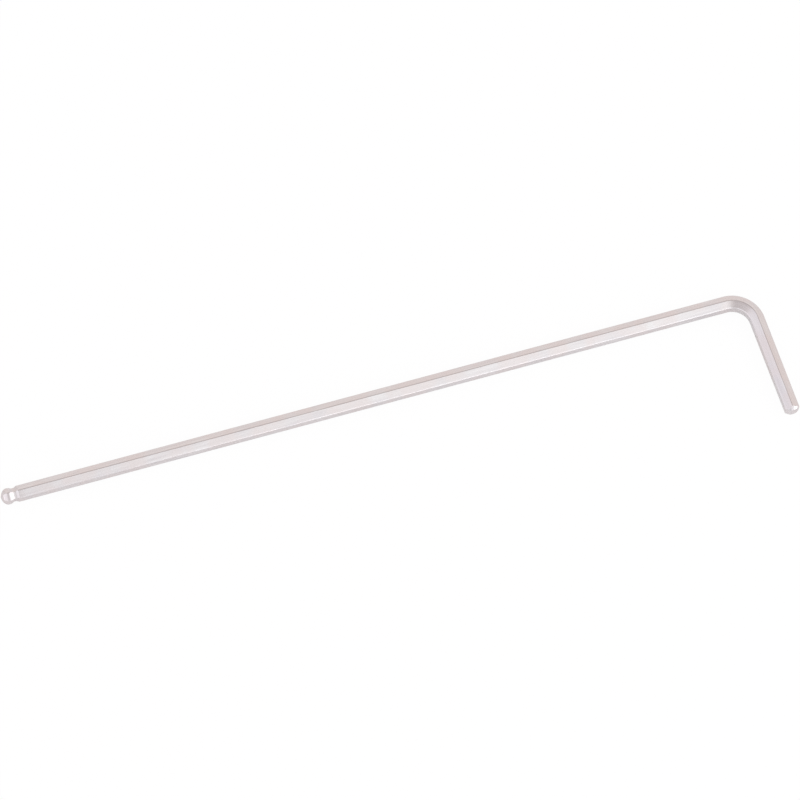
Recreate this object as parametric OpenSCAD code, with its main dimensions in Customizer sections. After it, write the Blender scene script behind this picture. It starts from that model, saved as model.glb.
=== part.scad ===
// Ball-end hex key: one hexagonal bar bent to an L, lying flat.
// The bend plane is horizontal and the bar stands on its edges, so each arm
// has a flat on its inner and outer side and an edge on top and underneath.
// The long arm runs along X and ends in the ball, the short arm points to -Y.
// The origin is the bottom centre of the box round the key.

/* [Bar] */
// Width of the bar across two opposite flats
across_flats = 2; // [1.5:0.1:3]
// Radius of the six long edges of the bar
edge_r = 0.2; // [0.1:0.01:0.3]

/* [Arms] */
// Length from the outer side of the short arm to the tip of the ball
long_arm = 109.6; // [60:0.1:200]
// Length from the outer side of the long arm to the end of the short arm
short_arm = 19.3; // [12:0.1:40]
// Radius of the inner side of the bend
bend_r = 2.5; // [1.5:0.1:5]

/* [Ball end] */
// How much narrower the ball is than the bar, across flats
ball_relief = 0.01; // [0:0.01:0.2]
// Width of the small flat on the tip of the ball
tip_flat = 0.7; // [0.2:0.05:1]
// Depth of the neck below the flats of the bar
neck_depth = 0.19; // [0.1:0.01:0.35]
// Radius of the hollow between ball and neck
neck_fillet_r = 0.4; // [0.2:0.05:0.6]
// Length of the straight neck between the hollow and the shoulder
neck_len = 0.3; // [0.1:0.05:1]
// Angle of the shoulder to the axis of the arm
shoulder_angle = 26; // [15:1:60]

/* [Short end] */
// Width of the turned chamfer on the short end, from the edges inwards
end_chamfer_w = 0.42; // [0.2:0.01:0.6]
// Angle of the chamfer to the end face
end_chamfer_angle = 45; // [20:1:60]

/* [Hidden] */
$fn = 96;

bar_sides = 6;
bend_angle = 90;
steel_colour = [0.87, 0.84, 0.85];

half_flats = across_flats / 2;
// Centres of the edge rounding lie on a smaller hexagon. Its radius is rounded up by less
// than a step, so that the rounding always meets the flats without a sliver between them.
fine_step = 0.00001;
edge_centre_r = fine_step * ceil((half_flats - edge_r) / cos(180 / bar_sides) / fine_step);
half_corners = edge_centre_r + edge_r;

bend_axis_r = bend_r + half_flats;
bend_outer_r = bend_r + across_flats;
long_straight = long_arm - bend_outer_r;
short_straight = short_arm - bend_outer_r;

ball_r = half_flats - ball_relief / 2;
tip_to_centre = sqrt(ball_r * ball_r - tip_flat * tip_flat / 4);
neck_r = half_flats - neck_depth;
// The hollow touches the ball and the neck, which places its centre
hollow_y = neck_r + neck_fillet_r;
hollow_x = sqrt(pow(ball_r + neck_fillet_r, 2) - hollow_y * hollow_y);
hollow_top = hollow_y * ball_r / (ball_r + neck_fillet_r);
shoulder_x = hollow_x + neck_len;
// The profile reaches past the edges of the bar, so its sides cut nothing there
profile_r = across_flats;
profile_end = long_straight + across_flats;
shoulder_run = (profile_r - neck_r) / tan(shoulder_angle);

end_face_r = half_corners - end_chamfer_w;
chamfer_run = (profile_r - end_face_r) * tan(end_chamfer_angle);

// Hexagon with rounded corners, standing on a corner
module bar_section() {
    rotate(90)
        union() {
            circle(r = edge_centre_r, $fn = bar_sides);
            for (i = [0 : bar_sides / 2 - 1])
                rotate(i * 360 / bar_sides)
                    square([edge_centre_r, across_flats], center = true);
            for (i = [0 : bar_sides - 1])
                rotate(i * 360 / bar_sides)
                    translate([edge_centre_r, 0])
                        circle(r = edge_r);
        }
}

// Side view of the ball, its neck and the bar behind, with the ball's centre at 0
module ball_profile() {
    intersection() {
        circle(r = ball_r);
        translate([-tip_to_centre, -ball_r])
            square([2 * ball_r, 2 * ball_r]);
    }
    difference() {
        translate([0, -hollow_top])
            square([hollow_x, 2 * hollow_top]);
        for (side = [-1, 1])
            translate([hollow_x, side * hollow_y])
                circle(r = neck_fillet_r);
    }
    translate([0, -neck_r])
        square([shoulder_x, 2 * neck_r]);
    polygon([
        [shoulder_x, -neck_r],
        [shoulder_x + shoulder_run, -profile_r],
        [profile_end, -profile_r],
        [profile_end, profile_r],
        [shoulder_x + shoulder_run, profile_r],
        [shoulder_x, neck_r]
    ]);
}

// Long arm with the hexagonal ball: the side view, cut across each pair of flats
module long_arm_bar() {
    intersection() {
        rotate([90, 0, -90])
            linear_extrude(height = long_straight)
                bar_section();
        intersection_for (i = [0 : bar_sides / 2 - 1])
            rotate([i * 360 / bar_sides, 0, 0])
                translate([tip_to_centre - long_straight, 0, 0])
                    linear_extrude(height = 2 * profile_r, center = true)
                        ball_profile();
    }
}

// Quarter ring that joins the arms
module bend() {
    rotate_extrude(angle = bend_angle)
        translate([bend_axis_r, 0])
            bar_section();
}

// Short arm, its end turned to a chamfer
module short_arm_bar() {
    rotate([90, 0, 0])
        intersection() {
            linear_extrude(height = short_straight)
                bar_section();
            union() {
                cylinder(r = profile_r, h = short_straight - chamfer_run);
                translate([0, 0, short_straight - chamfer_run])
                    cylinder(r1 = profile_r, r2 = end_face_r, h = chamfer_run);
            }
        }
}

module hex_key() {
    color(steel_colour)
        translate([
            (long_straight - bend_outer_r) / 2,
            (short_straight - bend_outer_r) / 2,
            half_corners
        ])
            union() {
                translate([0, bend_axis_r, 0])
                    long_arm_bar();
                bend();
                translate([bend_axis_r, 0, 0])
                    short_arm_bar();
            }
}

hex_key();
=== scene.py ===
import math

import bpy
from mathutils import Matrix, Vector


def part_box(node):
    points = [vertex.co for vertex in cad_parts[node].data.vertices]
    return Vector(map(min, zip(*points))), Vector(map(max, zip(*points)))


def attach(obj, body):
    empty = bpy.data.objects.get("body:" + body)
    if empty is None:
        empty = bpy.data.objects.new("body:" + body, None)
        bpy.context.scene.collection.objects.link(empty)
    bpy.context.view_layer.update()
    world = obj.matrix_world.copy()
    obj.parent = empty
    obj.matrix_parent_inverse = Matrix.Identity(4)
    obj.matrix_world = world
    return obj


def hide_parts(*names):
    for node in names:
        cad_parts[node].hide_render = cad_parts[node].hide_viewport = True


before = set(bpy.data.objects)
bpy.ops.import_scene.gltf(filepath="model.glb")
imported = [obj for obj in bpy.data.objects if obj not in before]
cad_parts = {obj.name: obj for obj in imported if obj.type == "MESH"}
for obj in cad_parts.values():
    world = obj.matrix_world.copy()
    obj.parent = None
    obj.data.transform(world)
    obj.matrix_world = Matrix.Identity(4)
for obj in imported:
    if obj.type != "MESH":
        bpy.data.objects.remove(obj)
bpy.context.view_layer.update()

MM = 0.001

# The bar: a hexagon that stands on a corner, with rounded corners
SIDES = 6
ACROSS_FLATS = 2.0 * MM
EDGE_R = 0.2 * MM
BEND_R = 2.5 * MM

# The ball end
BALL_RELIEF = 0.01 * MM
TIP_FLAT = 0.7 * MM
NECK_DEPTH = 0.19 * MM
NECK_FILLET_R = 0.4 * MM
NECK_LEN = 0.3 * MM
SHOULDER_ANGLE = math.radians(26)

# The short end
CHAMFER_W = 0.42 * MM
CHAMFER_ANGLE = math.radians(45)

# Worked out from the sizes above
HALF_FLATS = ACROSS_FLATS / 2
BEND_AXIS_R = BEND_R + HALF_FLATS
BALL_R = HALF_FLATS - BALL_RELIEF / 2
TIP_R = TIP_FLAT / 2
NECK_R = HALF_FLATS - NECK_DEPTH

# Fine ridges of the ball end, on sections under this share of the bar's width
RIDGE_R = 0.05 * MM
RIDGE_SHARE = 0.96

# How far each crease is rounded along both of its sides
SHOULDER_TRIM = 0.05 * MM
CHAMFER_TRIM = 0.03 * MM
RIM_TRIM = 0.03 * MM

# Mesh steps. The first step is the one from the shoulder to the plain bar
ARC_STEPS = 6
CREASE_STEPS = 4
BALL_STEPS = 28
FILLET_STEPS = 8
BEND_STEPS = 36
STRAIGHT_STEP = 4.0 * MM
FIRST_STEP = STRAIGHT_STEP / 4

# Columns on a flat, as shares of its width, and rows on the tip, as shares of its half width
FLAT_SHARES = (0.04, 0.2, 0.4, 0.6, 0.8, 0.96)
TIP_SHARES = (0.0, 0.5)

# How much a column belongs to a corner of the hexagon
ON_EDGE = 1.0
BESIDE_EDGE = 0.5
OFF_EDGE = 0.0

# The camera: aim point, direction from the key to the camera, roll, distance, lens and reach
AIM = Vector((2.468, 7.420, 1.108)) * MM
TO_CAMERA = Vector((-0.22539, -0.40724, 0.88507))
CAMERA_ROLL = math.radians(-14.974)
CAMERA_DISTANCE = 2988.7 * MM
LENS = 982.6
CAMERA_REACH = 20.0

# Colours, linear
STEEL = (0.833, 0.810, 0.811)
STEEL_DULL = (0.740, 0.705, 0.717)
STEEL_WARM = (0.800, 0.745, 0.740)
FLOOR_WHITE = (0.88, 0.87, 0.875)
WHITE = (1.0, 1.0, 1.0)

# The plating. Each noise has a scale, a detail and a roughness, and each range a low and a high end
LINE_NOISE = (1.0, 3.0, 0.6)
BAND_NOISE = (1.0, 2.0, 0.5)
CLOUD_NOISE = (350.0, 2.0, 0.5)
LINE_RANGE = (0.3, 0.7)
BAND_RANGE = (0.35, 0.70)
CLOUD_RANGE = (0.40, 0.60)
WHOLE_RANGE = (0.0, 1.0)
ROUGHNESS_RANGE = (0.20, 0.32)
ANISOTROPY = 0.35
BUMP_STRENGTH = 0.28
BUMP_HEIGHT = 0.006 * MM
# Roughness on the edges of the hexagon, as a share of that on its flats
EDGE_POLISH = 0.75

# The two finishes: name, then the scale of the lines and of the bands, round the bar and along it
FINISHES = (
    ("satin_plate_drawn", (7.0, 0.25), (2.5, 0.12)),
    ("satin_plate_turned", (1.0, 12.0), (0.5, 3.0)),
)
DRAWN, TURNED = range(len(FINISHES))

# The floor, and how much plain white each kind of ray sees on it
FLOOR_HALF = 3.0
FLOOR_ROUGHNESS = 0.9
FLOOR_GLOW = 1.02
WHITE_SHARES = (("Is Camera Ray", 0.93), ("Is Glossy Ray", 0.33), ("Is Transmission Ray", 0.93))

# Soft zones of the room: name, direction, full within and gone beyond (degrees), and colour
ROOM = (0.94, 0.935, 0.965)
ZONES = (
    ("back wall", (0.35, 0.93, 0.05), 50.0, 78.0, (0.87, 0.81, 0.79)),
    ("ceiling", (-0.1, 0.02, 1.0), 32.0, 45.0, (0.57, 0.53, 0.525)),
    ("left window", (-0.72, 0.30, 0.62), 15.0, 27.0, (0.95, 0.93, 0.97)),
    ("left wall", (-1.0, 0.02, 0.0), 12.0, 25.0, (1.35, 1.32, 1.40)),
    ("front gap", (-0.26, -0.96, 0.05), 8.0, 20.0, (0.60, 0.59, 0.62)),
    ("back corner", (-0.62, 0.78, 0.0), 14.0, 26.0, (0.66, 0.61, 0.60)),
)

# Soft lamps: name, direction, then distance, width and height (metres), glow and tint
SOFTBOXES = (
    ("side_softbox", (0.750, -0.450, 0.485), 1.5, 0.92, 1.66, 0.45, (1.0, 0.98, 0.98)),
    ("front_softbox", (0.46, -0.64, 0.82), 0.50, 0.27, 0.38, 0.28, (0.92, 1.0, 0.96)),
    ("left_softbox", (-0.67, -0.45, 0.58), 1.0, 0.85, 0.85, 0.16, (0.95, 0.92, 1.0)),
    ("front_strip", (0.30, -0.95, 0.12), 0.25, 0.10, 0.06, 1.50, (0.96, 0.98, 1.0)),
    ("low_softbox", (0.74, -0.66, 0.10), 0.6, 0.34, 0.11, 3.0, (1.0, 0.98, 0.98)),
)


def arc(centre, radius, first, last, steps):
    """Points along an arc from the first angle to the last."""
    points = []
    for step in range(steps + 1):
        turn = first + (last - first) * step / steps
        x = centre[0] + radius * math.cos(turn)
        y = centre[1] + radius * math.sin(turn)
        points.append(Vector((x, y)))
    return points


def rounded_crease(before, corner, after, trim):
    """Points that round a crease between two straight stretches."""
    start = corner + (before - corner).normalized() * trim
    end = corner + (after - corner).normalized() * trim
    points = []
    for step in range(CREASE_STEPS + 1):
        share = step / CREASE_STEPS
        points.append(start.lerp(corner, share).lerp(corner.lerp(end, share), share))
    return points


def section(half, corner_r):
    """Outward and upward place of each column on a hexagon with rounded corners."""
    centre_r = (half - corner_r) / math.cos(math.pi / SIDES)
    sweep = 2 * math.pi / SIDES
    arcs = []
    for side in range(SIDES):
        corner = sweep * (side + 0.5)
        centre = (centre_r * math.cos(corner), centre_r * math.sin(corner))
        arcs.append(arc(centre, corner_r, sweep * side, sweep * (side + 1), ARC_STEPS))
    points = []
    for here, there in zip(arcs, arcs[1:] + arcs[:1]):
        points += here
        points += [here[-1].lerp(there[0], share) for share in FLAT_SHARES]
    return points


def ball_section(half):
    """A section whose corners are fine ridges, growing to the bar's own near full width."""
    start = RIDGE_SHARE * HALF_FLATS
    share = max(0.0, min(1.0, (half - start) / (HALF_FLATS - start)))
    return section(half, RIDGE_R + (EDGE_R - RIDGE_R) * share)


def column_edges():
    """How much each column of a section belongs to a corner of the hexagon."""
    corner = [ON_EDGE] * (ARC_STEPS + 1)
    flat = [BESIDE_EDGE] + [OFF_EDGE] * (len(FLAT_SHARES) - 2) + [BESIDE_EDGE]
    return (corner + flat) * SIDES


def ball_profile():
    """Travel from the tip and half flats along the ball, the neck and the shoulder."""
    centre_x = math.sqrt(BALL_R ** 2 - TIP_R ** 2)
    hollow_y = NECK_R + NECK_FILLET_R
    hollow_x = math.sqrt((BALL_R + NECK_FILLET_R) ** 2 - hollow_y ** 2)
    tip_turn = math.pi - math.asin(TIP_R / BALL_R)
    touch_turn = math.atan2(hollow_y, hollow_x)
    neck_turn = 3 * math.pi / 2
    hollow = (centre_x + hollow_x, hollow_y)
    profile = arc((centre_x, 0.0), BALL_R, tip_turn, touch_turn, BALL_STEPS)
    profile += arc(hollow, NECK_FILLET_R, math.pi + touch_turn, neck_turn, FILLET_STEPS)[1:]
    neck_end = Vector((centre_x + hollow_x + NECK_LEN, NECK_R))
    rise = HALF_FLATS - NECK_R
    shoulder_top = neck_end + Vector((rise / math.tan(SHOULDER_ANGLE), rise))
    on_bar = shoulder_top + Vector((HALF_FLATS, 0.0))
    profile += rounded_crease(profile[-1], neck_end, shoulder_top, SHOULDER_TRIM)
    profile += rounded_crease(neck_end, shoulder_top, on_bar, SHOULDER_TRIM)
    return profile


class Path:
    """The bar's centre line, from the ball tip round the bend to the short end."""

    def __init__(self, low, high):
        outer_r = BEND_AXIS_R + HALF_FLATS
        self.half_corners = high.z / 2
        self.start = Vector((low.x, high.y - HALF_FLATS, self.half_corners))
        self.bend_start = high.x - low.x - outer_r
        self.bend_end = self.bend_start + BEND_AXIS_R * math.pi / 2
        self.end = self.bend_end + high.y - low.y - outer_r
        self.plain_end = self.end - HALF_FLATS

    def place(self, travel, out, up):
        """A point beside the centre line, out from the bend and up."""
        ahead = min(travel, self.bend_start)
        turn = (min(travel, self.bend_end) - ahead) / BEND_AXIS_R
        after = max(0.0, travel - self.bend_end)
        x = ahead + (BEND_AXIS_R + out) * math.sin(turn) + after * math.cos(turn)
        y = (BEND_AXIS_R + out) * math.cos(turn) - BEND_AXIS_R - after * math.sin(turn)
        return self.start + Vector((x, y, up))


def row_at(travel, points):
    """A row round the bar, as a list of (travel, out, up)."""
    return [(travel, *point) for point in points]


def tip_rows():
    """Rows over the tip, the ball, the neck and the shoulder."""
    tip = ball_section(TIP_R)
    rows = [row_at(0.0, [point * share for point in tip]) for share in TIP_SHARES]
    rows += [row_at(travel, ball_section(half)) for travel, half in ball_profile()]
    return rows


def even_stations(start, end, step):
    """Evenly spaced stations from start to end, about a step apart."""
    count = max(1, round((end - start) / step))
    return [start + (end - start) * n / count for n in range(count + 1)]


def bar_rows(path, start):
    """Rows along the long arm, the bend and the short arm."""
    bar = section(HALF_FLATS, EDGE_R)
    bend_step = (path.bend_end - path.bend_start) / BEND_STEPS
    stations = even_stations(start, path.bend_start, STRAIGHT_STEP)
    stations += even_stations(path.bend_start, path.bend_end, bend_step)[1:]
    stations += even_stations(path.bend_end, path.plain_end, STRAIGHT_STEP)[1:]
    return [row_at(travel, bar) for travel in stations]


def end_rows(path):
    """Rows over the turned chamfer, which each column meets at its own place, and the end face."""
    face_r = path.half_corners - CHAMFER_W
    rim = Vector((path.end, face_r))
    centre = Vector((path.end, 0.0))
    columns = []
    for point in section(HALF_FLATS, EDGE_R):
        reach = point.length
        way = point / reach
        on_bar = Vector((path.plain_end, reach))
        crease = Vector((path.end - (reach - face_r) * math.tan(CHAMFER_ANGLE), reach))
        column = rounded_crease(on_bar, crease, rim, CHAMFER_TRIM)
        column.append((crease + rim) / 2)
        column += rounded_crease(crease, rim, centre, RIM_TRIM)
        column += [(rim + centre) / 2, centre]
        columns.append([(travel, *(way * radius)) for travel, radius in column])
    return [list(row) for row in zip(*columns)]


def grid_faces(ring_count, across):
    """Faces of the rings, with a fan to the point before them and one to the point after."""
    sides = [(column, (column + 1) % across) for column in range(across)]
    before = ring_count * across
    after = before + 1
    last = before - across
    faces = [(before, right, left) for left, right in sides]
    for near in range(0, last, across):
        far = near + across
        faces += [(near + left, near + right, far + right, far + left) for left, right in sides]
    faces += [(last + left, last + right, after) for left, right in sides]
    return faces


def add_grain_map(mesh, rows):
    """A map with the way round the bar as U and the way along it as V, in millimetres."""
    bar = section(HALF_FLATS, EDGE_R)
    girth = [0.0]
    for here, there in zip(bar, bar[1:] + bar[:1]):
        girth.append(girth[-1] + (there - here).length / MM)
    along = [0.0]
    for before, row in zip(rows, rows[1:]):
        along.append(along[-1] + math.dist(before[0], row[0]) / MM)
    sides = list(zip(girth, girth[1:]))
    values = []
    for left, right in sides:
        values += [(left + right) / 2, along[0], right, along[1], left, along[1]]
    for near, far in zip(along[1:-2], along[2:-1]):
        for left, right in sides:
            values += [left, near, right, near, right, far, left, far]
    for left, right in sides:
        values += [left, along[-2], right, along[-2], (left + right) / 2, along[-1]]
    mesh.uv_layers.new(name="grain").data.foreach_set("uv", values)


def key_mesh(path):
    """The whole key as one closed grid of rows and columns, with a point at each end."""
    tip = tip_rows()
    shoulder_end = ball_profile()[-1].x
    bar = bar_rows(path, shoulder_end + FIRST_STEP)
    rows = tip + bar + end_rows(path)
    rings = rows[1:-1]
    across = len(rings[0])
    ends = [rows[0][0], rows[-1][0]]
    points = [point for ring in rings for point in ring] + ends
    faces = grid_faces(len(rings), across)

    # The drawn finish reaches from the shoulder to the middle of the chamfer's crease
    drawn_from = len(tip) - 1
    drawn_to = len(tip) + len(bar) + CREASE_STEPS // 2
    finishes = []
    for strip in range(len(rows) - 1):
        finish = DRAWN if drawn_from <= strip < drawn_to else TURNED
        finishes += [finish] * across

    mesh = bpy.data.meshes.new("hex_key_bar")
    mesh.from_pydata([path.place(*point) for point in points], [], faces)
    mesh.polygons.foreach_set("use_smooth", [True] * len(faces))
    mesh.polygons.foreach_set("material_index", finishes)
    layer = mesh.attributes.new("edge", "FLOAT", "POINT")
    layer.data.foreach_set("value", column_edges() * len(rings) + [OFF_EDGE] * len(ends))
    add_grain_map(mesh, rows)
    mesh.validate()
    return mesh


def new_object(name, data):
    """A new object in the scene with the given data."""
    item = bpy.data.objects.new(name, data)
    bpy.context.scene.collection.objects.link(item)
    return item


def link(tree, source, target):
    """Links one socket to another."""
    tree.links.new(source, target)


def new_node(tree, kind, **settings):
    """A new node with its properties set."""
    node = tree.nodes.new(kind)
    for name, value in settings.items():
        setattr(node, name, value)
    return node


def set_inputs(node, values):
    """Sets a node's sockets by name."""
    for name, value in values.items():
        node.inputs[name].default_value = value


def noise(tree, place, kind):
    """A noise texture's value at a place."""
    scale, detail, roughness = kind
    node = new_node(tree, "ShaderNodeTexNoise")
    set_inputs(node, {"Scale": scale, "Detail": detail, "Roughness": roughness})
    link(tree, place, node.inputs["Vector"])
    return node.outputs["Fac"]


def stretched(tree, place, scale):
    """A place on a map, with U and V each scaled."""
    node = new_node(tree, "ShaderNodeMapping")
    set_inputs(node, {"Scale": (*scale, 1.0)})
    link(tree, place, node.inputs["Vector"])
    return node.outputs["Vector"]


def ranged(tree, value, source, target, **settings):
    """A value moved from one range to another and held inside it."""
    node = new_node(tree, "ShaderNodeMapRange", **settings)
    set_inputs(node, {"From Min": source[0], "From Max": source[1]})
    set_inputs(node, {"To Min": target[0], "To Max": target[1]})
    link(tree, value, node.inputs["Value"])
    return node.outputs["Result"]


def math_node(tree, operation, first, second):
    """A Math node. The second input is a socket or a number."""
    node = new_node(tree, "ShaderNodeMath", operation=operation)
    link(tree, first, node.inputs[0])
    if isinstance(second, (int, float)):
        node.inputs[1].default_value = second
    else:
        link(tree, second, node.inputs[1])
    return node.outputs[0]


def mixed(tree, factor, first, second):
    """A colour mix. Each colour is a socket or three numbers."""
    node = new_node(tree, "ShaderNodeMix", data_type="RGBA")
    link(tree, factor, node.inputs["Factor"])
    for name, value in (("A", first), ("B", second)):
        socket = next(i for i in node.inputs if i.name == name and i.type == "RGBA")
        if isinstance(value, tuple):
            socket.default_value = (*value, 1.0)
        else:
            link(tree, value, socket)
    return next(o for o in node.outputs if o.type == "RGBA")


def satin_plate(name, line_scale, band_scale):
    """Satin plated steel with fine lines, duller bands, warmer clouds and smoother edges."""
    material = bpy.data.materials.new(name)
    material.use_nodes = True
    tree = material.node_tree
    shader = tree.nodes["Principled BSDF"]
    set_inputs(shader, {"Metallic": 1.0, "Anisotropic": ANISOTROPY})
    grain = new_node(tree, "ShaderNodeUVMap", uv_map="grain").outputs["UV"]
    place = new_node(tree, "ShaderNodeTexCoord").outputs["Object"]
    lines = noise(tree, stretched(tree, grain, line_scale), LINE_NOISE)

    bands = noise(tree, stretched(tree, grain, band_scale), BAND_NOISE)
    clouds = noise(tree, place, CLOUD_NOISE)
    colour = mixed(tree, ranged(tree, bands, BAND_RANGE, WHOLE_RANGE), STEEL, STEEL_DULL)
    colour = mixed(tree, ranged(tree, clouds, CLOUD_RANGE, WHOLE_RANGE), colour, STEEL_WARM)
    link(tree, colour, shader.inputs["Base Color"])

    edge = new_node(tree, "ShaderNodeAttribute", attribute_name="edge").outputs["Fac"]
    rough = ranged(tree, lines, LINE_RANGE, ROUGHNESS_RANGE)
    polish = ranged(tree, edge, (OFF_EDGE, ON_EDGE), (1.0, EDGE_POLISH))
    link(tree, math_node(tree, "MULTIPLY", rough, polish), shader.inputs["Roughness"])

    bump = new_node(tree, "ShaderNodeBump")
    set_inputs(bump, {"Strength": BUMP_STRENGTH, "Distance": BUMP_HEIGHT})
    link(tree, lines, bump.inputs["Height"])
    link(tree, bump.outputs["Normal"], shader.inputs["Normal"])

    tangent = new_node(tree, "ShaderNodeTangent", direction_type="UV_MAP", uv_map="grain")
    link(tree, tangent.outputs["Tangent"], shader.inputs["Tangent"])
    return material


def make_key():
    """The key's visible mesh, which stands for the CAD bar."""
    low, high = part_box("hex_key")
    key = new_object("hex_key_bar", key_mesh(Path(low, high)))
    for finish in FINISHES:
        key.data.materials.append(satin_plate(*finish))
    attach(key, "root")
    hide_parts("hex_key")


def white_share(tree):
    """How much plain white a ray sees, the rest being lit floor."""
    path = new_node(tree, "ShaderNodeLightPath")
    seen = [math_node(tree, "MULTIPLY", path.outputs[ray], share) for ray, share in WHITE_SHARES]
    highest = seen[0]
    for other in seen[1:]:
        highest = math_node(tree, "MAXIMUM", highest, other)
    return highest


def floor_white():
    """Matt white that shows as the photograph's white ground and keeps a soft shadow."""
    material = bpy.data.materials.new("floor_white")
    material.use_nodes = True
    tree = material.node_tree
    lit = tree.nodes["Principled BSDF"]
    set_inputs(lit, {"Base Color": (*FLOOR_WHITE, 1.0), "Roughness": FLOOR_ROUGHNESS})
    set_inputs(lit, {"Specular IOR Level": 0.0})
    glow = new_node(tree, "ShaderNodeEmission")
    set_inputs(glow, {"Color": (*WHITE, 1.0), "Strength": FLOOR_GLOW})
    blend = new_node(tree, "ShaderNodeMixShader")
    link(tree, white_share(tree), blend.inputs[0])
    link(tree, lit.outputs[0], blend.inputs[1])
    link(tree, glow.outputs[0], blend.inputs[2])
    link(tree, blend.outputs[0], tree.nodes["Material Output"].inputs["Surface"])
    return material


def make_floor():
    """The floor, one wide square under the key."""
    signs = ((-1, -1), (1, -1), (1, 1), (-1, 1))
    corners = [(x * FLOOR_HALF, y * FLOOR_HALF, 0.0) for x, y in signs]
    mesh = bpy.data.meshes.new("floor")
    mesh.from_pydata(corners, [], [(0, 1, 2, 3)])
    mesh.materials.append(floor_white())
    new_object("floor", mesh)


def make_world():
    """A bright room whose walls, ceiling and window are soft zones of their own colour."""
    world = bpy.data.worlds.new("studio")
    bpy.context.scene.world = world
    world.use_nodes = True
    tree = world.node_tree
    way = new_node(tree, "ShaderNodeTexCoord").outputs["Generated"]
    colour = ROOM
    for label, direction, inner, outer, tint in ZONES:
        dot = new_node(tree, "ShaderNodeVectorMath", operation="DOT_PRODUCT", label=label)
        dot.inputs[1].default_value = Vector(direction).normalized()
        link(tree, way, dot.inputs[0])
        fade = (math.cos(math.radians(outer)), math.cos(math.radians(inner)))
        near = dot.outputs["Value"]
        zone = ranged(tree, near, fade, WHOLE_RANGE, interpolation_type="SMOOTHSTEP")
        colour = mixed(tree, zone, colour, tint)
    path = new_node(tree, "ShaderNodeLightPath")
    colour = mixed(tree, path.outputs["Is Camera Ray"], colour, WHITE)
    link(tree, colour, tree.nodes["Background"].inputs["Color"])


def make_softbox(name, direction, distance, width, height, glow, tint):
    """A soft lamp that faces the origin. Its glow sets how bright it looks, at any size."""
    lamp = bpy.data.lights.new(name, "AREA")
    lamp.shape = "RECTANGLE"
    lamp.size = width
    lamp.size_y = height
    lamp.energy = glow * math.pi * width * height
    lamp.color = tint
    holder = new_object(name, lamp)
    away = Vector(direction).normalized()
    holder.location = away * distance
    holder.rotation_mode = "QUATERNION"
    holder.rotation_quaternion = away.to_track_quat("Z", "Y")
    holder.visible_camera = False


def make_camera():
    """The camera at the photograph's viewing angle."""
    back = TO_CAMERA.normalized()
    # The roll starts from the X axis as the camera sees it
    x_seen = (Vector((1.0, 0.0, 0.0)) - back * back.x).normalized()
    right = Matrix.Rotation(CAMERA_ROLL, 3, back) @ x_seen
    up = back.cross(right)
    data = bpy.data.cameras.new("camera")
    data.lens = LENS
    data.clip_end = CAMERA_REACH
    camera = new_object("camera", data)
    turn = Matrix((right, up, back)).transposed().to_4x4()
    camera.matrix_world = Matrix.Translation(AIM + back * CAMERA_DISTANCE) @ turn
    bpy.context.scene.camera = camera


make_key()
make_floor()
make_world()
for softbox in SOFTBOXES:
    make_softbox(*softbox)
make_camera()
bpy.context.scene.view_settings.view_transform = "Standard"
